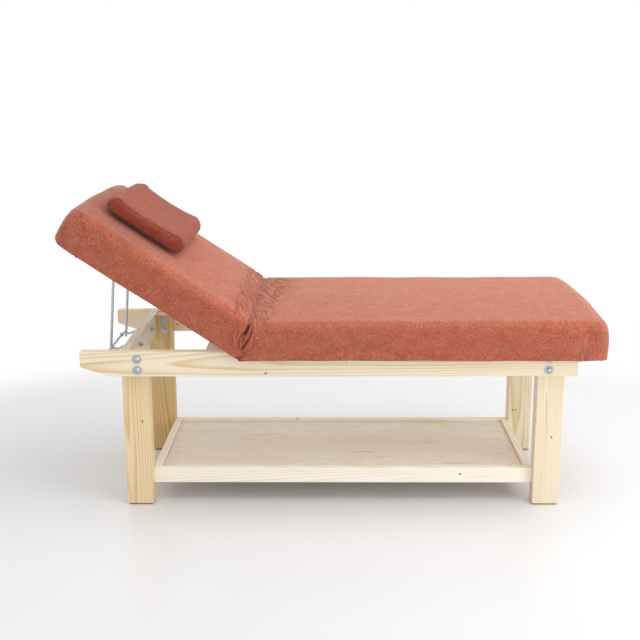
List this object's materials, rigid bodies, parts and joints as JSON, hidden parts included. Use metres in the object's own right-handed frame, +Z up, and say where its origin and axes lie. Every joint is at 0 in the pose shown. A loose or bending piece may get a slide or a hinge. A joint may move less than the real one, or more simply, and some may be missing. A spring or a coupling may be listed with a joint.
{
  "type": "beauty couch",
  "caption": "Pine beauty couch on square legs with a storage shelf, a padded seat, a hinged padded back on a steel prop and a loose contoured pillow.",
  "frame": {"origin": "on the floor, under the middle of the whole couch with its back propped up", "axes": "+X from the head end to the foot end, +Y across the couch, +Z up"},
  "size_m": [1.7776, 0.7404, 1.0476],
  "materials": {
    "pine_rail": "planed pine, clear lacquer",
    "pine_leg": "planed pine, clear lacquer",
    "plywood": "sanded plywood",
    "zinc_steel": "bright zinc plating",
    "foot_rubber": "moulded",
    "black_cap": "moulded",
    "foam": "open-cell upholstery foam",
    "suede": "short-pile stretch suede"
  },
  "bodies": {
    "frame": {"near_side_rail": "pine_rail", "far_side_rail": "pine_rail", "near_head_leg": "pine_leg", "far_head_leg": "pine_leg", "near_foot_leg": "pine_leg", "far_foot_leg": "pine_leg", "foot_pads": "foot_rubber", "head_crossbeam": "pine_rail", "middle_crossbeam": "pine_rail", "seat_crossbeam": "pine_rail", "foot_crossbeam": "pine_rail", "crossbeam_dowels": "pine_leg", "crossbeam_screws": "zinc_steel", "leg_bolts": "zinc_steel", "bolt_washers": "zinc_steel", "leg_nuts": "zinc_steel", "shelf_front_rail": "pine_rail", "shelf_back_rail": "pine_rail", "shelf_head_rail": "pine_rail", "shelf_foot_rail": "pine_rail", "shelf_battens": "pine_rail", "shelf_panel": "plywood", "shelf_dowels": "pine_leg", "seat_board": "plywood", "seat_foam": "foam", "seat_cover": "suede", "seat_hinge_leaves": "zinc_steel", "seat_hinge_screws": "zinc_steel", "hinge_pins": "zinc_steel", "prop_rack": "zinc_steel", "rack_nuts": "zinc_steel", "rack_washers": "zinc_steel", "rack_end_caps": "black_cap"},
    "backrest": {"back_board": "plywood", "back_foam": "foam", "back_cover": "suede", "back_hinge_leaves": "zinc_steel", "back_hinge_screws": "zinc_steel", "bail_brackets": "zinc_steel", "bracket_screws": "zinc_steel"},
    "prop": {"prop_bail": "zinc_steel"},
    "pillow": {"head_pillow": "suede"}
  },
  "joints": [
    {"name": "back_tilt", "type": "hinge", "parent": "frame", "child": "backrest", "pos_m": [-0.3072, 0, 0.543], "axis": [0, 1, 0], "range_deg": [-33.7, 4]},
    {"name": "bail_swing", "type": "hinge", "parent": "backrest", "child": "prop", "pos_m": [-0.74537, 0, 0.82501], "axis": [0, 1, 0], "range_deg": [-4, 33.7]},
    {"name": "pillow_lift", "type": "slide", "parent": "backrest", "child": "pillow", "axis": [0.5548, 0, 0.832], "range_m": [0, 0.2]}
  ],
  "couplings": [
    {"joint": "bail_swing", "follows": "back_tilt", "ratio": -1}
  ]
}
